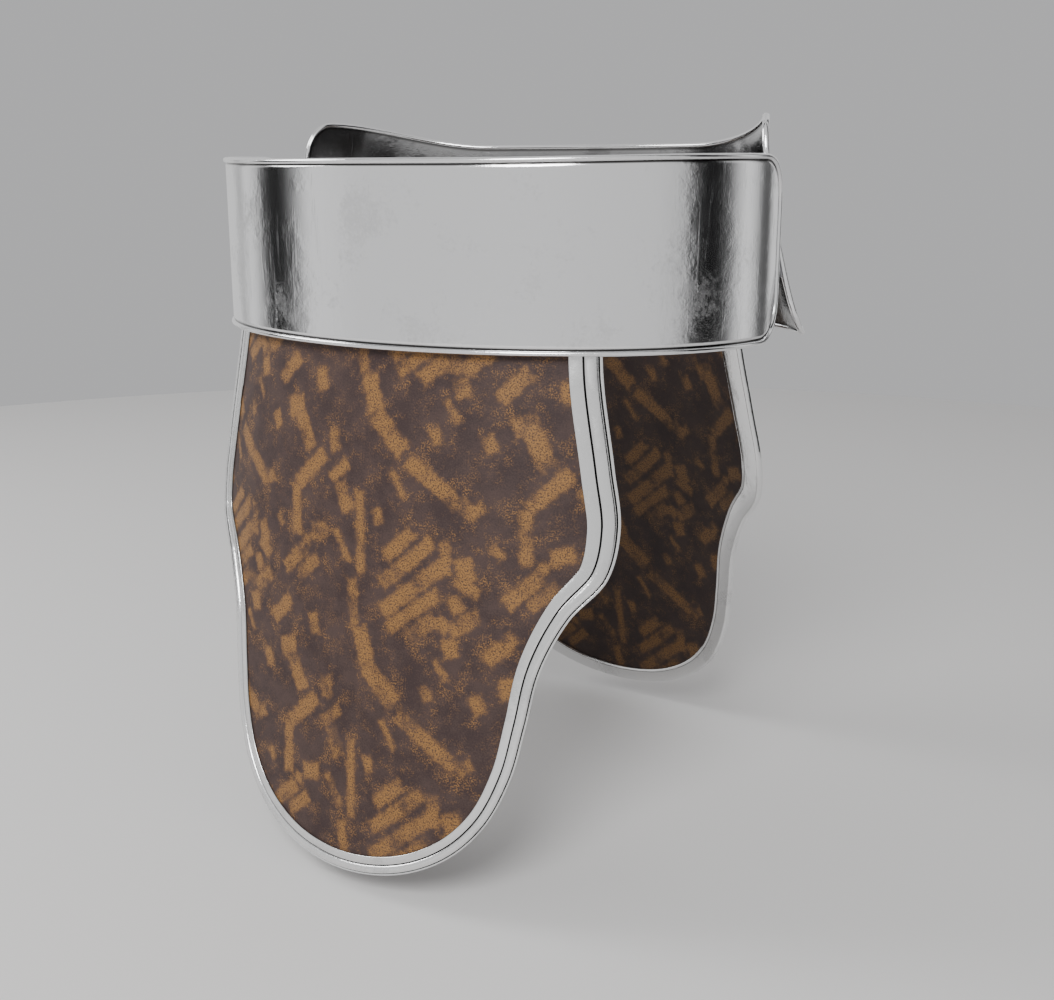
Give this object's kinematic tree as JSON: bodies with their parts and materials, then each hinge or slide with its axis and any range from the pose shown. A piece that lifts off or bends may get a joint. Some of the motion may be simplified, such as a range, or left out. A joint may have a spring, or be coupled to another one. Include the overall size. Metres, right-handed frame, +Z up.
{
  "type": "waist armour",
  "caption": "Polished steel waist belt of a front and a back plate, with a framed leather tasset hanging from each plate to guard the thighs.",
  "frame": {"origin": "middle of the waist hollow, at half the front plate's height", "axes": "+Z up, the wearer faces -Y, +X is the wearer's left"},
  "size_m": [0.3576, 0.329, 0.3966],
  "materials": {
    "polished_steel": "polished steel with smudges and fine scratches",
    "frame_steel": "polished steel moulding with dark grooves",
    "printed_leather": "dark purple-brown leather with a worn gold print",
    "pin_steel": "plain worked steel"
  },
  "bodies": {
    "root": {"front_belt_plate": "polished_steel", "back_belt_plate": "polished_steel", "front_tasset_frame": "frame_steel", "back_tasset_frame": "frame_steel", "front_tasset_panel": "printed_leather", "back_tasset_panel": "printed_leather", "front_tasset_pin_1": "pin_steel", "front_tasset_pin_2": "pin_steel", "front_tasset_pin_3": "pin_steel", "back_tasset_pin_1": "pin_steel", "back_tasset_pin_2": "pin_steel", "back_tasset_pin_3": "pin_steel", "left_hip_joiner": "pin_steel", "right_hip_joiner": "pin_steel"}
  },
  "joints": []
}
